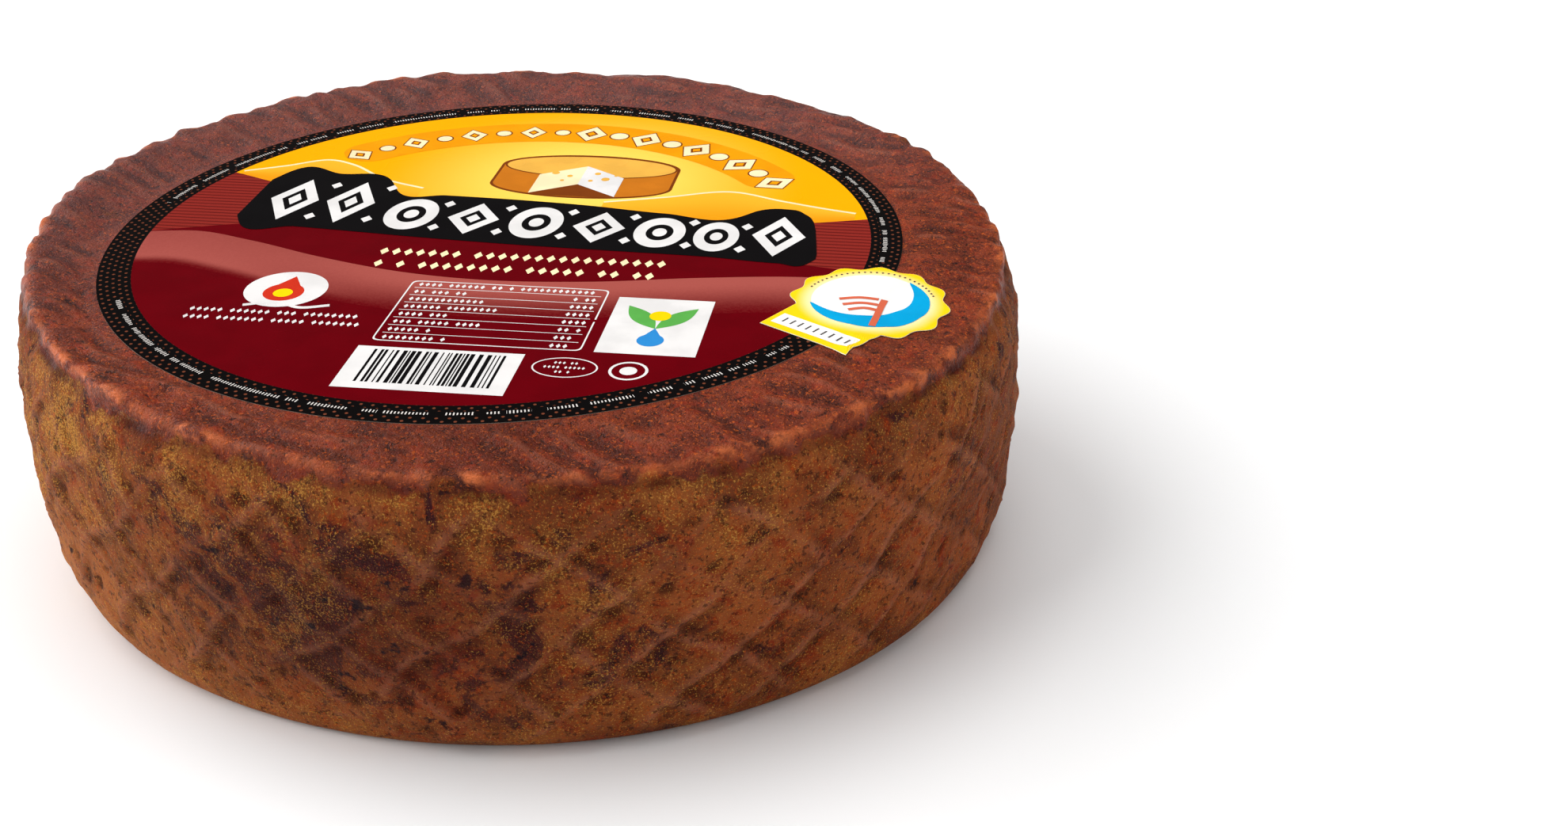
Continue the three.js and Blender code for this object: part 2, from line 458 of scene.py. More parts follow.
def round_line(x, y, wide, high, start=0, stop=360, sides=64):
    """An ellipse or a part of one, from its half width, half height and two angles in degrees."""
    angle = np.radians(np.linspace(start, stop, sides + 1))
    return np.stack([x + wide * np.cos(angle), y + high * np.sin(angle)], -1)


def filled(line):
    """A fan from the line's middle to the line."""
    line = np.asarray(line, float)
    middle = (line.min(0) + line.max(0)) / 2
    return between(np.broadcast_to(middle, line.shape), line)


def oval(x, y, wide, high=None, sides=64):
    """A filled ellipse from its half width and half height, or a disc from its radius alone."""
    return filled(round_line(x, y, wide, high or wide, sides=sides))


def hoop(x, y, wide, high, thick, start=0, stop=360, sides=64):
    """A band of even thickness along an ellipse."""
    inner = round_line(x, y, wide - thick, high - thick, start, stop, sides)
    return between(inner, round_line(x, y, wide, high, start, stop, sides))


def lozenge(x, y, wide, high):
    """A diamond from its whole width and height: an ellipse of four sides."""
    return filled(round_line(x, y, wide / 2, high / 2, sides=4))


def bar(x, y, wide, high):
    """A rectangle from its lower left corner."""
    return between([[x, y], [x + wide, y]], [[x, y + high], [x + wide, y + high]])


def soft_box(x, y, wide, high, corner=5, sides=64):
    """A rectangle with rounded corners: the superellipse |x|^n + |y|^n = 1, about its middle."""
    angle = np.radians(np.linspace(0, 360, sides * 2 + 1))
    power = 2 / (2 * corner)
    across = np.sign(np.cos(angle)) * np.abs(np.cos(angle)) ** power
    along = np.sign(np.sin(angle)) * np.abs(np.sin(angle)) ** power
    return np.stack([x + wide / 2 * across, y + high / 2 * along], -1)


def smooth_line(knots, xs):
    """A smooth line through a few knots: between two of them, the cubic that leaves each at the
    slope between its neighbours."""
    kx, ky = np.asarray(knots, float).T
    slope = np.gradient(ky, kx)
    at = np.clip(np.searchsorted(kx, xs) - 1, 0, len(kx) - 2)
    wide = kx[at + 1] - kx[at]
    t = (xs - kx[at]) / wide
    rise = (2 * t ** 3 - 3 * t ** 2 + 1) * ky[at] + (3 * t ** 2 - 2 * t ** 3) * ky[at + 1]
    lean = (t ** 3 - 2 * t ** 2 + t) * slope[at] + (t ** 3 - t ** 2) * slope[at + 1]
    return np.stack([xs, rise + wide * lean], -1)


def strip(low_knots, high_knots, left, right, steps=1, columns=96):
    """The patch between two smooth lines, from one side to the other."""
    xs = np.linspace(left, right, columns + 1)
    return between(smooth_line(low_knots, xs), smooth_line(high_knots, xs), steps)


def stroke(line, thick):
    """A line drawn with a nib: the line's points pushed half the thickness to each side."""
    along = np.gradient(np.asarray(line, float), axis=0)
    side = np.stack([-along[:, 1], along[:, 0]], -1) / np.linalg.norm(along, axis=1, keepdims=True)
    return between(line - side * thick / 2, line + side * thick / 2)


class Print:
    """The inks of one sheet: flat patches, gathered and then made into the sheet's mesh."""

    def __init__(self, step):
        self.step = step
        self.points = []
        self.faces = []
        self.inks = []
        self.fades = []
        self.count = 0

    def lay(self, patch, ink, layer):
        """Adds a patch of (rows, columns, 2) points. Its quads are turned to face up, and each
        point keeps how far along the rows it lies, for inks that fade."""
        rows, columns = patch.shape[:2]
        number = np.arange(rows * columns).reshape(rows, columns)
        quads = np.stack([number[:-1, :-1], number[:-1, 1:], number[1:, 1:], number[1:, :-1]], -1)
        quads = quads.reshape(-1, 4)
        flat = patch.reshape(-1, 2)
        a, b, c, d = np.moveaxis(flat[quads], 1, 0)
        ac, bd = c - a, d - b
        downward = ac[:, 0] * bd[:, 1] - ac[:, 1] * bd[:, 0] < 0
        quads[downward] = quads[downward][:, ::-1]
        self.points.append(np.column_stack([flat, np.full(len(flat), layer)]))
        self.faces.append(quads + self.count)
        self.inks.append(np.full(len(quads), ink))
        self.fades.append(np.repeat(np.linspace(0, 1, rows), columns))
        self.count += len(flat)

    def piece(self, name, outline, seat, inks, rings=8):
        """The finished sheet: a closed paper body cut to the outline, resting on the height that
        seat gives for each place, with the patches above it. The first of the inks is the paper."""
        share = np.linspace(1, 0.02, rings)[:, None, None]
        face = outline * share
        cut = np.concatenate([face[::-1], face])
        heights = np.repeat([0, PAPER / self.step], len(share))
        rows, columns = cut.shape[:2]
        number = np.arange(rows * columns).reshape(rows, columns)
        beside = np.roll(number, -1, axis=1)
        walls = np.stack([number[:-1], beside[:-1], beside[1:], number[1:]], -1).reshape(-1, 4)
        paper = np.column_stack([cut.reshape(-1, 2), np.repeat(heights, columns)])
        first, last = rows * columns, rows * columns + 1
        poles = np.array([[0, 0, 0], [0, 0, PAPER / self.step]])
        fans = np.stack([beside[0], number[0], np.full(columns, first)], -1).tolist() + \
            np.stack([number[-1], beside[-1], np.full(columns, last)], -1).tolist()
        ink_points = np.concatenate(self.points)
        ink_points[:, 2] += PAPER / self.step
        points = np.concatenate([ink_points, paper, poles])
        x, y, z = seat(points[:, 0], points[:, 1])
        placed = np.stack([x, y, z + points[:, 2] * self.step], -1) * MM
        ink_faces = np.concatenate(self.faces).tolist()
        paper_faces = (walls + self.count).tolist() + (np.array(fans) + self.count).tolist()
        faces = ink_faces + paper_faces
        which = np.concatenate(self.inks + [np.zeros(len(paper_faces))])
        fade = np.concatenate(self.fades + [np.zeros(len(points) - self.count)])
        mesh = bpy.data.meshes.new(name)
        mesh.from_pydata(placed.tolist(), [], faces)
        mesh.polygons.foreach_set("material_index", which.astype(np.int32))
        stored = mesh.attributes.new("fade", "FLOAT", "POINT")
        stored.data.foreach_set("value", fade.astype(np.float32))
        for ink in inks:
            mesh.materials.append(ink)
        tidy = bmesh.new()
        tidy.from_mesh(mesh)
        bmesh.ops.remove_doubles(tidy, verts=tidy.verts, dist=0.002 * MM)
        bmesh.ops.dissolve_degenerate(tidy, edges=tidy.edges, dist=0.0005 * MM)
        tidy.to_mesh(mesh)
        tidy.free()
        sheet = bpy.data.objects.new(name, mesh)
        bpy.context.scene.collection.objects.link(sheet)
        return sheet


def coated(ink, wave=18):
    """The print's surface: smooth coated paper that follows the rind beneath in slow waves."""
    ink.set("Roughness", ink.share(ink.grain(30, 2), 0.3, 0.7, 0.3, 0.2))
    ink.set("Normal", ink.bump(ink.grain(wave, 1), 0.35))
    return ink.material


def plain_ink(name, colour):
    """One flat ink, darker by up to a tenth in soft patches."""
    ink = Finish(name, Specular_IOR_Level=INK_SHINE)
    ink.set("Base Color", ink.over(colour, "#000000", ink.share(ink.grain(9, 3), 0.35, 0.65, 0.1)))
    return coated(ink)


def centred(ink, x, y):
    """The place as measured from a point on the label, split into across and up, in metres."""
    shift = ink.nodes.new("ShaderNodeMapping")
    shift.inputs["Location"].default_value = (-x * MM, -y * MM, 0)
    ink.feed(shift.inputs["Vector"], ink.place)
    split = ink.nodes.new("ShaderNodeSeparateXYZ")
    ink.feed(split.inputs["Vector"], shift.outputs["Vector"])
    return split.outputs["X"], split.outputs["Y"]


def reach(ink, x, y):
    """Distance from the centre: the square root of across squared plus up squared."""
    across, up = centred(ink, x, y)
    squares = ink.sum("ADD", ink.sum("MULTIPLY", across, across), ink.sum("MULTIPLY", up, up))
    return ink.sum("SQRT", squares)


def sky_ink():
    """Amber at the border, clearing to yellow around the middle of the picture."""
    ink = Finish("sky_ink", Specular_IOR_Level=INK_SHINE)
    glow = ink.share(reach(ink, LABEL_X + 12, LABEL_Y + 40), 62 * MM, 8 * MM)
    ink.set("Base Color", ink.over("#f8a800", "#fcd65e", glow))
    return coated(ink)


def hill_ink():
    """Orange hills, deeper towards their foot."""
    ink = Finish("hill_ink", Specular_IOR_Level=INK_SHINE)
    ink.set("Base Color", ink.over("#ee9510", "#f7b02a", ink.share(ink.mark("fade"), 0.1, 1)))
    return coated(ink)


def wave_ink():
    """Dusty pink at its upper edge, fading down into the maroon field."""
    ink = Finish("wave_ink", Specular_IOR_Level=INK_SHINE)
    across, _ = centred(ink, LABEL_X, LABEL_Y)
    fade = ink.mark("fade")
    at_left = ink.sum("SUBTRACT", ink.share(fade, 0.02, 0.25), ink.sum("MULTIPLY", fade, 0.3))
    at_right = ink.share(fade, 0.0, 0.9)
    rightward = ink.share(across, -70 * MM, -10 * MM)
    cover = ink.sum("ADD", ink.sum("MULTIPLY", at_right, rightward),
                    ink.sum("MULTIPLY", at_left, ink.sum("SUBTRACT", 1.0, rightward)))
    cover = ink.sum("ADD", cover, ink.share(ink.grain(0.6, 2), 0.3, 0.7, 0.08))
    ink.set("Base Color", ink.over("#620009", "#a34f47", cover))
    return coated(ink)


def ruled_ink():
    """Brick red crossed by fine dark level lines."""
    ink = Finish("ruled_ink", Specular_IOR_Level=INK_SHINE)
    _, up = centred(ink, LABEL_X, LABEL_Y)
    phase = ink.sum("FRACT", ink.sum("DIVIDE", up, 2.0 * MM))
    line = ink.share(ink.sum("ABSOLUTE", ink.sum("SUBTRACT", phase, 0.5)), 0.2, 0.1, 0.75)
    ink.set("Base Color", ink.over("#872720", "#4c0e0e", line))
    return coated(ink)


def border_ink():
    """Black, set with staggered rows of small brown dots, and with a line of fine white ticks where
    a label carries its small print. The dots repeat by angle along rows at even radii."""
    ink = Finish("border_ink", Specular_IOR_Level=INK_SHINE)
    across, up = centred(ink, LABEL_X, LABEL_Y)
    radius = reach(ink, LABEL_X, LABEL_Y)
    angle = ink.sum("ARCTAN2", up, across)

    row_gap, dot_gap = 1.5, 2.8
    row = ink.sum("DIVIDE", ink.sum("SUBTRACT", radius, (RING_INNER + 0.45) * MM), row_gap * MM)
    odd = ink.sum("MODULO", ink.sum("FLOOR", row), 2.0)
    dots_round = round(2 * math.pi * 99 / dot_gap)
    along = ink.sum("ADD", ink.sum("MULTIPLY", angle, dots_round / (2 * math.pi)),
                    ink.sum("MULTIPLY", odd, 0.5))
    side = ink.sum("MULTIPLY", ink.sum("SUBTRACT", ink.sum("FRACT", row), 0.5), row_gap)
    way = ink.sum("MULTIPLY", ink.sum("SUBTRACT", ink.sum("FRACT", along), 0.5), dot_gap)
    off = ink.sum("SQRT", ink.sum("ADD", ink.sum("MULTIPLY", side, side),
                                  ink.sum("MULTIPLY", way, way)))
    dots = ink.share(off, 0.45, 0.29)

    line_radius, ticks_to_a_radian, words_to_a_radian = 98.5 * MM, 123, 22
    lettered = ink.sum("ADD", ink.sum("COMPARE", angle, math.radians(85), math.radians(89)),
                       ink.sum("COMPARE", angle, math.radians(-92), math.radians(57)))
    words = ink.nodes.new("ShaderNodeTexNoise")
    words.noise_dimensions = "1D"
    words.inputs["Scale"].default_value = 1
    words.inputs["Detail"].default_value = 0
    ink.feed(words.inputs["W"], ink.sum("MULTIPLY", angle, words_to_a_radian))
    word = ink.sum("GREATER_THAN", words.outputs["Fac"], 0.42)
    tick = ink.sum("MULTIPLY", angle, ticks_to_a_radian)
    tall = ink.nodes.new("ShaderNodeTexWhiteNoise")
    tall.noise_dimensions = "1D"
    ink.feed(tall.inputs["W"], ink.sum("FLOOR", tick))
    height = ink.sum("ADD", ink.sum("MULTIPLY", tall.outputs["Value"], 0.3 * MM), 0.38 * MM)
    off_line = ink.sum("ABSOLUTE", ink.sum("SUBTRACT", radius, line_radius))
    stem = ink.sum("MULTIPLY", ink.sum("LESS_THAN", ink.sum("FRACT", tick), 0.4),
                   ink.sum("LESS_THAN", off_line, height))
    ticks = ink.sum("MULTIPLY", ink.sum("MULTIPLY", lettered, word), stem)
    clear = ink.sum("MULTIPLY", ink.sum("LESS_THAN", off_line, 1.15 * MM), lettered)
    dots = ink.sum("MULTIPLY", dots, ink.sum("SUBTRACT", 1.0, clear))

    colour = ink.over("#0b0909", "#743e2a", dots)
    ink.set("Base Color", ink.over(colour, "#d8d2cc", ticks))
    return coated(ink)


label_inks = {
    "paper": plain_ink("label_stock", "#8f877d"), "field": plain_ink("maroon_ink", "#620009"),
    "ruled": ruled_ink(), "sky": sky_ink(), "hill": hill_ink(), "wave": wave_ink(),
    "border": border_ink(), "black": plain_ink("black_ink", "#0e0c0d"),
    "white": plain_ink("white_ink", "#e4e1df"), "cream": plain_ink("cream_ink", "#fde6b8"),
    "ribbon": plain_ink("ribbon_ink", "#f09a08"), "brown": plain_ink("brown_ink", "#7a3a10"),
    "rind": plain_ink("drawn_rind_ink", "#c8741c"), "pale": plain_ink("drawn_top_ink", "#eab04a"),
    "yellow": plain_ink("yellow_ink", "#f7d308"), "green": plain_ink("green_ink", "#5cab4e"),
    "blue": plain_ink("blue_ink", "#2f86c9"), "red": plain_ink("red_ink", "#c8321e"),
}
ink_number = {name: number for number, name in enumerate(label_inks)}
label = Print(INK)


def ink_on(patch, ink, layer):
    """Lays a patch in one of the label's inks, so many layers above the paper."""
    label.lay(patch, ink_number[ink], layer)


# Ground: the maroon field, and over it the ruled band, the sky and the fading wave.
SKYLINE = [(-96, 37.5), (-88, 34.2), (-75, 28.4), (-40, 15), (10, 9), (50, 11), (77, 16.4), (96, 22)]
ARCH = [(-96, -9.5), (-85, -5.6), (-76, -2.6), (-40, 5), (0, 6), (45, -3), (76, -10.2), (96, -14)]
WAVE = [(-96, -9.6), (-90, -8.4), (-83, -7.6), (-66, -12), (-45, -20), (-20, -27), (2, -29.2),
        (27, -27.2), (55, -21.5), (76, -18.4), (96, -18)]


def rim_line(xs):
    """The upper edge of the inked disc."""
    return np.stack([xs, np.sqrt(np.maximum(INKED_RADIUS ** 2 - xs ** 2, 0))], -1)


columns = INKED_RADIUS * np.sin(np.linspace(-np.pi / 2, np.pi / 2, 161))
ink_on(oval(0, 0, INKED_RADIUS, sides=160), "field", 1)
sky_columns = columns[(columns > -88.8) & (columns < 93.6)]
ink_on(between(smooth_line(SKYLINE, sky_columns), rim_line(sky_columns), 6), "sky", 2)
ruled_columns = columns[np.abs(columns) < 95.3]
ruled_top = np.minimum(smooth_line(SKYLINE, ruled_columns), rim_line(ruled_columns))
ink_on(between(smooth_line(ARCH, ruled_columns), ruled_top, 2), "ruled", 2)
wave_columns = columns[(columns > -95) & (columns < 94)]
wave_top = smooth_line(WAVE, wave_columns)
WAVE_DEPTH = 21
wave_foot = np.maximum(wave_top - [0, WAVE_DEPTH], -rim_line(wave_columns) * [-1, 1])
ink_on(between(wave_foot, wave_top, 10), "wave", 2)
ink_on(between(round_line(0, 0, RING_INNER, RING_INNER, sides=192),
               round_line(0, 0, LABEL_RADIUS, LABEL_RADIUS, sides=192), 2), "border", 3)

# The picture: two orange hills with pale crests, and a cut wheel of cheese standing between.
LEFT_HILL = [(-90, 34), (-76, 41), (-65, 47), (-57, 44), (-46, 35), (-30, 28)]
RIGHT_HILL = [(18, 24), (36, 30), (54, 36), (68, 31), (80, 27), (91, 24)]
for crest, left, right in ((LEFT_HILL, -86.5, -32), (RIGHT_HILL, 20, 89)):
    xs = np.linspace(left, right, 49)
    ink_on(between(smooth_line(SKYLINE, xs), smooth_line(crest, xs), 6), "hill", 3)
    ink_on(stroke(smooth_line(crest, xs), 0.9), "cream", 4)

# An arched ribbon of deeper amber, strung with cream lozenges and beads edged in brown.
RIBBON_Y, RIBBON_RADIUS = -2, 79.2
RIBBON_HALF_WIDTH = 7.75
RIBBON_HALF_LENGTH, RIBBON_STRAIGHT = 73.9, 66.2      # past its straight part, each end is round
ribbon_line = round_line(0, RIBBON_Y, RIBBON_RADIUS, RIBBON_RADIUS, 33, 140, 96)
ribbon_along = np.abs(np.linspace(-RIBBON_HALF_LENGTH, RIBBON_HALF_LENGTH, 97))
ribbon_half = np.sqrt(RIBBON_HALF_WIDTH ** 2 - np.maximum(ribbon_along - RIBBON_STRAIGHT, 0) ** 2)
ribbon_out = (ribbon_line - [0, RIBBON_Y]) / RIBBON_RADIUS * ribbon_half[:, None]
ink_on(between(ribbon_line - ribbon_out, ribbon_line + ribbon_out), "ribbon", 5)
BEADS, FIRST_BEAD, LAST_BEAD = 17, 137, 35.5           # how many, and degrees round the ribbon
for i in range(BEADS):
    angle = math.radians(FIRST_BEAD - i * (FIRST_BEAD - LAST_BEAD) / (BEADS - 1))
    x, y = RIBBON_RADIUS * math.cos(angle), RIBBON_Y + RIBBON_RADIUS * math.sin(angle)
    big = 1 if i < BEADS / 2 - 1 else 1.25
    wide, high = (7.4 * big, 9.6 * big) if i % 2 == 0 else (4.2 * big, 4.2 * big)
    line = round_line(0, 0, wide / 2, high / 2, sides=4 if i % 2 == 0 else 24)
    lean = angle - math.pi / 2
    turned = line @ np.array([[math.cos(lean), math.sin(lean)], [-math.sin(lean), math.cos(lean)]])
    ink_on(filled(turned * (1 + 0.9 / wide) + [x, y]), "brown", 6)
    ink_on(filled(turned + [x, y]), "cream", 7)
    if i % 2 == 0:
        ink_on(filled(turned * 0.45 + [x, y]), "brown", 8)
        ink_on(filled(turned * 0.28 + [x, y]), "ribbon", 9)

# The drawn cheese: a low wheel seen from above its edge, with one slice taken out in front.
DRAWN_X, DRAWN_Y, DRAWN_WIDE, DRAWN_HIGH, DRAWN_TALL = 11, 50, 25, 8.5, 14


def drawn_wheel(grow, ink, layer):
    """The wheel's outline: its top oval and the half oval of its foot, joined down the sides."""
    top = round_line(DRAWN_X, DRAWN_Y, DRAWN_WIDE + grow, DRAWN_HIGH + grow, 180, 360)
    ink_on(between(top - [0, DRAWN_TALL + grow * 0.3], top), ink, layer)
    ink_on(oval(DRAWN_X, DRAWN_Y, DRAWN_WIDE + grow, DRAWN_HIGH + grow), ink, layer)


drawn_wheel(0.8, "brown", 5)
drawn_wheel(0, "rind", 6)
ink_on(oval(DRAWN_X, DRAWN_Y, DRAWN_WIDE, DRAWN_HIGH), "pale", 7)
ink_on(hoop(DRAWN_X, DRAWN_Y, DRAWN_WIDE, DRAWN_HIGH, 0.6), "brown", 8)
middle = np.array([DRAWN_X - 1, DRAWN_Y + 0.5])
left_cut, right_cut = (round_line(DRAWN_X, DRAWN_Y, DRAWN_WIDE, DRAWN_HIGH, a, a, 1)[0]
                       for a in (238, 296))
DOWN = np.array([0, -DRAWN_TALL])
shade_left, shade_right = left_cut + DOWN * 1.06, right_cut + DOWN * 1.06
ink_on(filled([left_cut, middle, right_cut, shade_right, shade_left, left_cut]), "brown", 9)
ink_on(between([left_cut, left_cut + DOWN], [middle, middle + DOWN]), "cream", 10)
ink_on(between([right_cut, right_cut + DOWN], [middle, middle + DOWN]), "white", 10)
HOLES = [(2, 44.5, 1.1), (6.5, 42.5, 0.8), (5, 39, 0.6), (14, 45, 0.9), (17, 41, 1.2),
         (19.5, 44, 0.6), (13, 39.5, 0.7)]
for x, y, size in HOLES:
    ink_on(oval(x, y, size, size * 1.1, 20), "pale", 11)

# The banner: a black scroll, tall at both ends, carrying nine white figures.
BANNER_TOP = [(-76, 30), (-73.5, 36), (-58, 36.6), (-43, 34), (-37.5, 24.6), (-24, 24.2),
              (-5, 23.4), (16, 21.6), (38, 18.4), (58, 18), (63, 23.4), (70, 25.2), (75, 23),
              (79.5, 12), (81.5, -4)]
BANNER_FOOT = [(-76, 4), (-73.5, -1), (-58, -1.8), (-42, -3.2), (-23, -5), (3, -6.8), (29, -7.8),
               (55, -8.8), (72, -10.6), (79.5, -10.4), (81.5, -7)]
ink_on(strip(BANNER_FOOT, BANNER_TOP, -76, 81.5, 2, 160), "black", 9)
FIGURES = [(-64.5, 16.6, 14.4, 31), (-48.6, 16.4, 14.4, 31), (-29.6, 10, 15, 22.5),
           (-12.2, 9, 15, 22.5), (5.2, 8.2, 15, 22.5), (22.4, 7, 15, 22), (39, 5.4, 14.4, 21),
           (54.2, 4.4, 12.6, 20.5), (70.4, 6.6, 15, 28)]
DIAMONDS = (0, 1, 3, 5, 8)             # the other figures are rings


def ring_blank(x, y, wide, high):
    """A filled oval from its whole width and height."""
    return oval(x, y, wide / 2, high / 2)


for i, (x, y, wide, high) in enumerate(FIGURES):
    shape = lozenge if i in DIAMONDS else ring_blank
    for part, (size, ink) in enumerate(((0.94, "white"), (0.5, "black"), (0.26, "white"))):
        ink_on(shape(x, y, wide * size, high * size), ink, 10 + part)
    for up in (-1, 1):
        if i < len(FIGURES) - 1:
            ink_on(lozenge(x + wide / 2 + 0.9, y + up * high * 0.36, 3.2, 4.6), "white", 10)

# Small print: rows of little lozenges with gaps, as wide as the lines that they stand for.
words = np.random.default_rng(7)


def line_of_print(x, y, wide, high, ink, layer):
    """A row of lozenges from x, most of them close together, with a gap now and then."""
    at = x
    while at < x + wide:
        ink_on(lozenge(at + high * 0.3, y, high * 0.52, high), ink, layer)
        at += high * (0.72 if words.random() > 0.16 else 1.3)


line_of_print(-30.4, -14.6, 73, 4.4, "cream", 3)
line_of_print(-29.6, -22.2, 70.5, 4.4, "cream", 3)
line_of_print(-65, -53.4, 43, 2.4, "white", 3)
line_of_print(-65, -57.6, 43, 2.4, "white", 3)

# A white round with a plain drop in it, and a curved stroke beneath.
ink_on(oval(-45.8, -40.2, 10.2), "white", 3)
drop = round_line(-45.8, -42, 5, 5, 125, 415, 32)
ink_on(filled(np.concatenate([drop, [[-45.8, -32.6]], drop[:1]])), "red", 4)
ink_on(oval(-45.8, -42.4, 2.4), "yellow", 5)
CURL = [(-53, -50.2), (-45, -47.6), (-39, -50), (-32, -48)]
ink_on(stroke(smooth_line(CURL, np.linspace(-53, -32, 33)), 1.3), "white", 4)

# A ruled table with a thin rounded frame: short marks at the left and right of each row.
TABLE_X, TABLE_Y, TABLE_WIDE, TABLE_HIGH, TABLE_ROWS = 8.7, -48.2, 49.8, 33.6, 8
frame_outside = soft_box(TABLE_X, TABLE_Y, TABLE_WIDE, TABLE_HIGH, 14)
frame_inside = soft_box(TABLE_X, TABLE_Y, TABLE_WIDE - 0.8, TABLE_HIGH - 0.8, 14)
ink_on(between(frame_inside, frame_outside), "white", 3)
row_high = TABLE_HIGH / TABLE_ROWS
for row in range(TABLE_ROWS):
    y = TABLE_Y + TABLE_HIGH / 2 - row * row_high
    if row:
        ink_on(bar(TABLE_X - TABLE_WIDE / 2 + 1.5, y, TABLE_WIDE - 3, 0.25), "white", 3)
    wide = 44 if row == 0 else 10 + 16 * words.random()
    line_of_print(TABLE_X - TABLE_WIDE / 2 + 2, y - row_high / 2, wide, 2.2, "white", 3)
    if row:
        line_of_print(TABLE_X + TABLE_WIDE / 2 - 8, y - row_high / 2, 6, 2.2, "white", 3)

# A white panel with a sprig of two leaves over a blue drop.
ink_on(bar(36.6, -65, 23.6, 30), "white", 3)
for lean in (-1, 1):
    rib = np.linspace([48.4, -51.5], [48.4 + lean * 8.5, -39.5], 17)
    half = 2.6 * np.sin(np.linspace(0, np.pi, 17))[:, None] * np.array([0.82, -lean * 0.58])
    ink_on(between(rib - half, rib + half), "green", 4)
ink_on(oval(48.4, -44.5, 2.6), "yellow", 5)
small_drop = round_line(48.4, -57.6, 3.2, 3.2, 125, 415, 32)
ink_on(filled(np.concatenate([small_drop, [[48.4, -51.2]], small_drop[:1]])), "blue", 4)

# A white panel of upright black bars of uneven width, seeded so that they repeat no real code.
ink_on(bar(-18, -88.4, 39.4, 20.4), "white", 3)
bars = np.random.default_rng(31)
at = -13.6
while at < 17:
    thick = 0.33 * bars.integers(1, 4)
    ink_on(bar(at, -85.4, min(thick, 17.6 - at), 16), "black", 4)
    at += thick + 0.33 * bars.integers(1, 4)

# A thin white oval with three short rules, and a plain ring beside it.
ink_on(hoop(31.8, -73.4, 7.6, 4.9, 0.4), "white", 3)
for y, wide in ((-71.2, 6), (-73.4, 10), (-75.6, 4)):
    line_of_print(31.8 - wide / 2, y, wide - 0.6, 1.4, "white", 3)
ink_on(hoop(46.4, -73.4, 4.5, 4.5, 0.7), "white", 3)
ink_on(oval(46.4, -73.4, 2), "white", 3)


def label_seat(x, y):
    """The label lies flat on the wheel's top face, moved to its place off the centre."""
    return x + LABEL_X, y + LABEL_Y, np.full_like(x, WHEEL_HEIGHT)


label_edge = round_line(0, 0, LABEL_RADIUS, LABEL_RADIUS, sides=192)[:-1]
main_label = label.piece("main_label_print", label_edge, label_seat, list(label_inks.values()))
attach(main_label, "root")
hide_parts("main_label")

# ---------------------------------------------------------------------------------------------
# The seal: a small die-cut sticker, a scalloped yellow rosette with a square tag, pressed down
# half on the main label and half on the bare rind, whose ridges it follows.

ROSETTE_RADIUS = 18.8
SCALLOP_COUNT = 12
SCALLOP_DEPTH = 1.7
SCALLOP_ANGLE = math.radians(-4)
TAG_ANGLE = math.radians(-122)
TAG_REACH = 26.3
TAG_WIDTH = 25.5
SEAL_LIFT = 0.16              # clear of the finest bumps of the rind under it


def seal_outline(sides=240):
    """The rosette's radius waves by angle, and the tag's straight edges cut in where they reach
    further: end / cosine or half width / sine of the angle off the tag's middle line."""
    corner = math.atan2(TAG_WIDTH / 2, TAG_REACH)
    even = np.linspace(0, 2 * np.pi, sides, endpoint=False)
    turn = np.sort(np.append(even, [corner, 2 * np.pi - corner]))
    angle = TAG_ANGLE + turn
    rosette = ROSETTE_RADIUS + SCALLOP_DEPTH / 2 * np.cos(SCALLOP_COUNT * (angle - SCALLOP_ANGLE))
    forward = np.cos(turn)
    sideways = np.maximum(np.abs(np.sin(turn)), 1e-9)
    tag = np.minimum(TAG_REACH / np.maximum(forward, 1e-9), TAG_WIDTH / 2 / sideways)
    out = np.maximum(rosette, np.where(forward > 0, tag, 0))
    return np.stack([out * np.cos(angle), out * np.sin(angle)], -1)


def seal_seat(x, y):
    """The sticker's underside: the rind's own relief where it lies on the rind, and the label's
    face where it lies on the label, with a short slope over the label's edge. The rind's place
    below each point is found by stepping back, a few times, by how far settled moves it."""
    x, y = x + SEAL_X, y + SEAL_Y
    under = np.stack([x, y, np.full_like(x, WHEEL_HEIGHT)], -1)
    for _ in range(6):
        under[:, 2] = top_height(np.hypot(under[:, 0], under[:, 1]))
        moved = settled(under)
        under[:, :2] += np.stack([x, y], -1) - moved[:, :2]
    height = moved[:, 2] + rind_marks(under)["stands"]
    on_label = 1 - ease(from_label(x, y), 0, 3.5)
    return x, y, height + SEAL_LIFT + on_label * (PAPER + 0.02)


def seal_ink():
    """Strong yellow at the edge, paling to white towards the rosette's middle."""
    ink = Finish("seal_ink", Specular_IOR_Level=INK_SHINE)
    pale = ink.share(reach(ink, SEAL_X, SEAL_Y), 18.5 * MM, 13.5 * MM)
    ink.set("Base Color", ink.over("#ffcf14", "#fbe9b4", pale))
    return coated(ink, 12)


seal_inks = {
    "paper": plain_ink("seal_stock", "#f2e9c8"), "seal": seal_ink(),
    "white": plain_ink("seal_white_ink", "#f4f2f0"), "blue": plain_ink("seal_blue_ink", "#0aa3da"),
    "clay": plain_ink("seal_clay_ink", "#d9694c"), "grey": plain_ink("seal_grey_ink", "#55504e"),
}
seal_number = {name: number for number, name in enumerate(seal_inks)}
seal = Print(0.035)
seal_edge = seal_outline()
closed_edge = np.concatenate([seal_edge, seal_edge[:1]])
seal.lay(between(closed_edge * 0.02, closed_edge * 0.995, 40), seal_number["seal"], 1)


def seal_print(patch, ink, layer):
    """Lays a patch cut fine enough to follow the ridges under the sticker."""
    seal.lay(patch, seal_number[ink], layer)


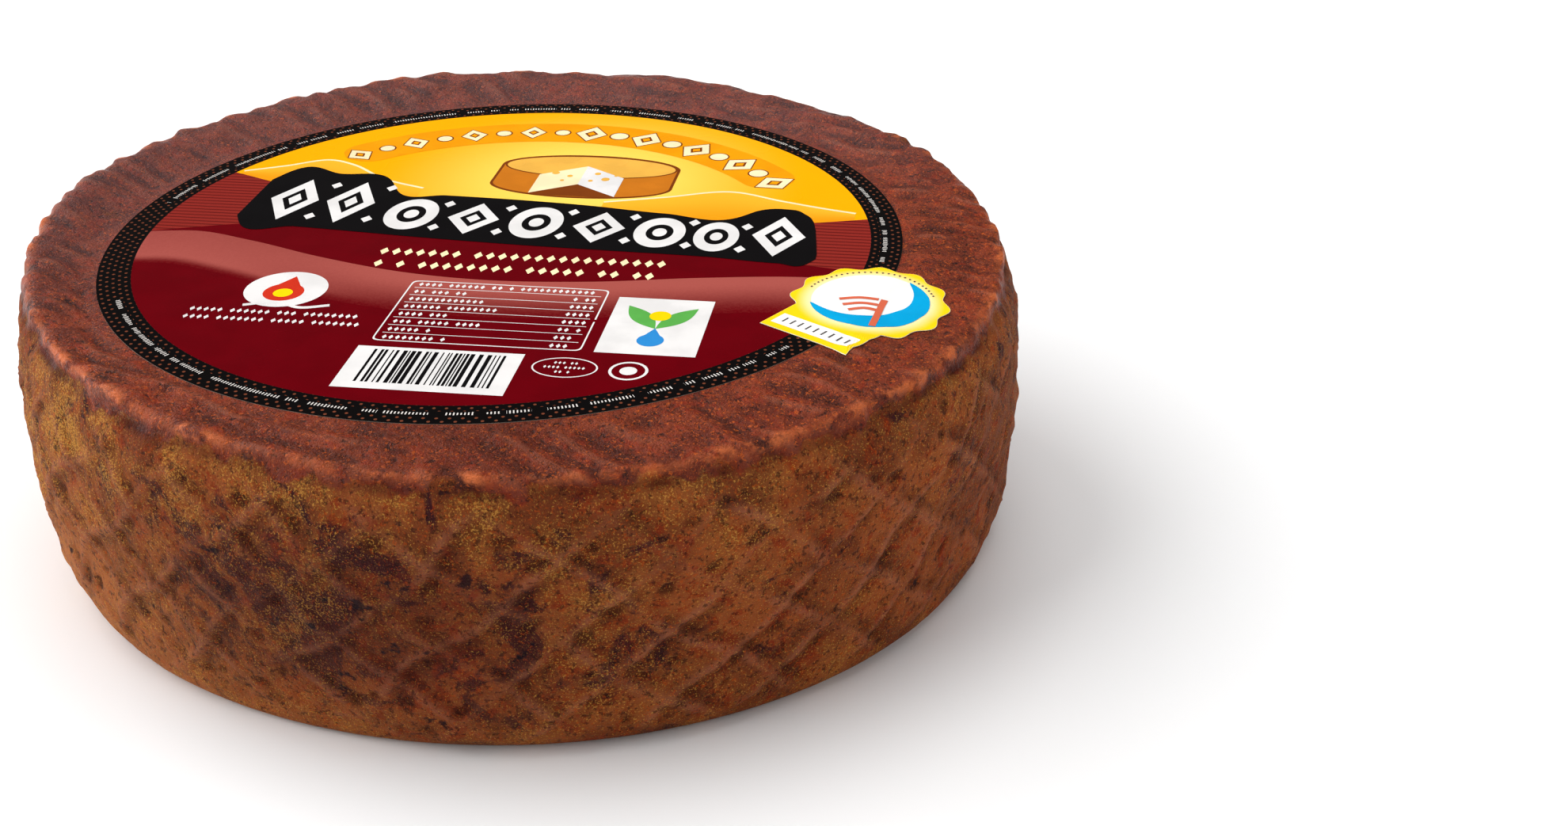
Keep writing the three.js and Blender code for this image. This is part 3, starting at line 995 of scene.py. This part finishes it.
def fine_disc(x, y, radius, rings=28):
    """A disc cut into many rings about its middle."""
    line = round_line(x, y, radius, radius, sides=160)
    return between(np.broadcast_to([x, y], line.shape), line, rings)


# Its print: a white round, a blue crescent thickest at its middle, three clay strokes across a
# post, a ring of fine grey marks, and more of them on the tag's white panel.
ROUND_Y = 0.3
seal_print(fine_disc(0, ROUND_Y, 14.2), "white", 2)
CRESCENT_START, CRESCENT_STOP = -168, 52
sweep = np.linspace(0, np.pi, 97)
outer = round_line(0, ROUND_Y, 14.6, 14.6, CRESCENT_START, CRESCENT_STOP, 96)
thick = 6.4 * np.abs(np.sin(sweep)) ** 0.7
inner = outer * (1 - thick / 15)[:, None]
seal_print(between(inner, outer, 12), "blue", 3)
for x, y, wide in ((-2.6, 0.4, 9.5), (-2, -2.6, 8.5), (-1.2, -5.4, 7)):
    line = smooth_line([(x - wide / 2, y - 0.7), (x, y + 0.6), (x + wide / 2, y)],
                       np.linspace(x - wide / 2, x + wide / 2, 25))
    seal_print(stroke(line, 1.3), "clay", 4)
seal_print(stroke(np.linspace([3.6, 0.5], [1.6, -13.8], 31), 1.7), "clay", 5)
for i in range(27):
    angle = math.radians(18 + i * 5.4)
    x, y = 15.9 * math.cos(angle), ROUND_Y + 15.9 * math.sin(angle)
    seal_print(lozenge(x, y, 0.7, 0.9), "grey", 3)

tag_out = np.array([math.cos(TAG_ANGLE), math.sin(TAG_ANGLE)])
tag_side = np.array([-tag_out[1], tag_out[0]])
near, far = 18.7 * tag_out, 24.1 * tag_out
along = np.linspace(-11.3, 11.3, 46)[:, None] * tag_side
seal_print(between(near + along, far + along, 11), "white", 2)
for i in range(9):
    upright = np.array([20.2 * tag_out, 22.6 * tag_out]) + (i - 4) * 2.3 * tag_side
    seal_print(between(upright, upright + 0.5 * tag_side), "grey", 3)

seal_label = seal.piece("seal_sticker", seal_edge, seal_seat, list(seal_inks.values()), 41)
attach(seal_label, "root")
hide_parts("seal_label")

# ---------------------------------------------------------------------------------------------
# The studio: a pale floor before a white backdrop, a broad lamp low on the left, a soft one
# overhead, a weak one low on the right, and a camera that looks down on the wheel from in front.

FLOOR_SIZE = 14


def studio_floor():
    """A flat square, just below the wheel's foot."""
    half = FLOOR_SIZE / 2
    mesh = bpy.data.meshes.new("studio_floor")
    depth = -0.0002
    corners = [(-half, -half, depth), (half, -half, depth), (half, half, depth), (-half, half, depth)]
    mesh.from_pydata(corners, [], [(0, 1, 2, 3)])
    floor = bpy.data.objects.new("studio_floor", mesh)
    bpy.context.scene.collection.objects.link(floor)
    paper = Finish("floor_paper", Roughness=0.9, Specular_IOR_Level=0.1,
                   Base_Color=(0.93, 0.93, 0.93, 1))
    mesh.materials.append(paper.material)


def studio_backdrop():
    """A white dome far behind the floor. Only the camera sees it: it gives no light."""
    bpy.ops.mesh.primitive_uv_sphere_add(segments=64, ring_count=32, radius=FLOOR_SIZE * 0.7)
    dome = bpy.context.object
    dome.name = "studio_backdrop"
    white = Finish("backdrop_white", Emission_Color=(1, 1, 1, 1), Emission_Strength=1.0,
                   Base_Color=(0, 0, 0, 1), Specular_IOR_Level=0.0)
    dome.data.materials.append(white.material)
    dome.visible_diffuse = dome.visible_glossy = dome.visible_shadow = False
    dome.visible_transmission = dome.visible_volume_scatter = False


def soft_sun(name, heading, rise, breadth, strength):
    """A broad distant lamp: heading is the side it shines from, counted from +X, rise its height
    above the floor, both in degrees, and strength the brightness of white paper that faces it."""
    data = bpy.data.lights.new(name, "SUN")
    data.angle = math.radians(breadth)
    data.energy = strength * math.pi
    shown = bpy.data.objects.new(name, data)
    shown.rotation_euler = (0, math.radians(90 - rise), math.radians(heading))
    bpy.context.scene.collection.objects.link(shown)


CAMERA_TURN = math.radians(7.08)
CAMERA_RISE = math.radians(28.63)
CAMERA_ROLL = math.radians(-0.12)
CAMERA_AWAY, CAMERA_RIGHT, CAMERA_UP = 0.47794, 0.07204, -0.04687    # in metres
CAMERA_LENS = 41.818


def studio_camera():
    """Stands back from the label's middle along its view line, then steps aside in its own plane."""
    back = np.array([math.sin(CAMERA_TURN) * math.cos(CAMERA_RISE),
                     -math.cos(CAMERA_TURN) * math.cos(CAMERA_RISE), math.sin(CAMERA_RISE)])
    level = np.array([math.cos(CAMERA_TURN), math.sin(CAMERA_TURN), 0])
    raised = np.cross(back, level)
    right = math.cos(CAMERA_ROLL) * level + math.sin(CAMERA_ROLL) * raised
    up = np.cross(back, right)
    middle = np.array([LABEL_X, LABEL_Y, WHEEL_HEIGHT]) * MM
    data = bpy.data.cameras.new("studio_camera")
    data.lens = CAMERA_LENS
    data.sensor_width = 36
    data.clip_start = 0.01
    camera = bpy.data.objects.new("studio_camera", data)
    camera.location = middle + back * CAMERA_AWAY + right * CAMERA_RIGHT + up * CAMERA_UP
    camera.rotation_euler = Matrix((right, up, back)).transposed().to_euler()
    bpy.context.scene.collection.objects.link(camera)
    bpy.context.scene.camera = camera


studio_floor()
studio_backdrop()
soft_sun("left_lamp", 182, 27, 88, 1.4)
soft_sun("overhead_lamp", 70, 76, 50, 0.44)
soft_sun("right_lamp", 342, 18, 70, 0.34)
sky = bpy.data.worlds.new("studio_air")
sky.use_nodes = True
sky.node_tree.nodes["Background"].inputs["Color"].default_value = (1, 1, 1, 1)
sky.node_tree.nodes["Background"].inputs["Strength"].default_value = 0.12
bpy.context.scene.world = sky
bpy.context.scene.view_settings.view_transform = "Standard"
studio_camera()
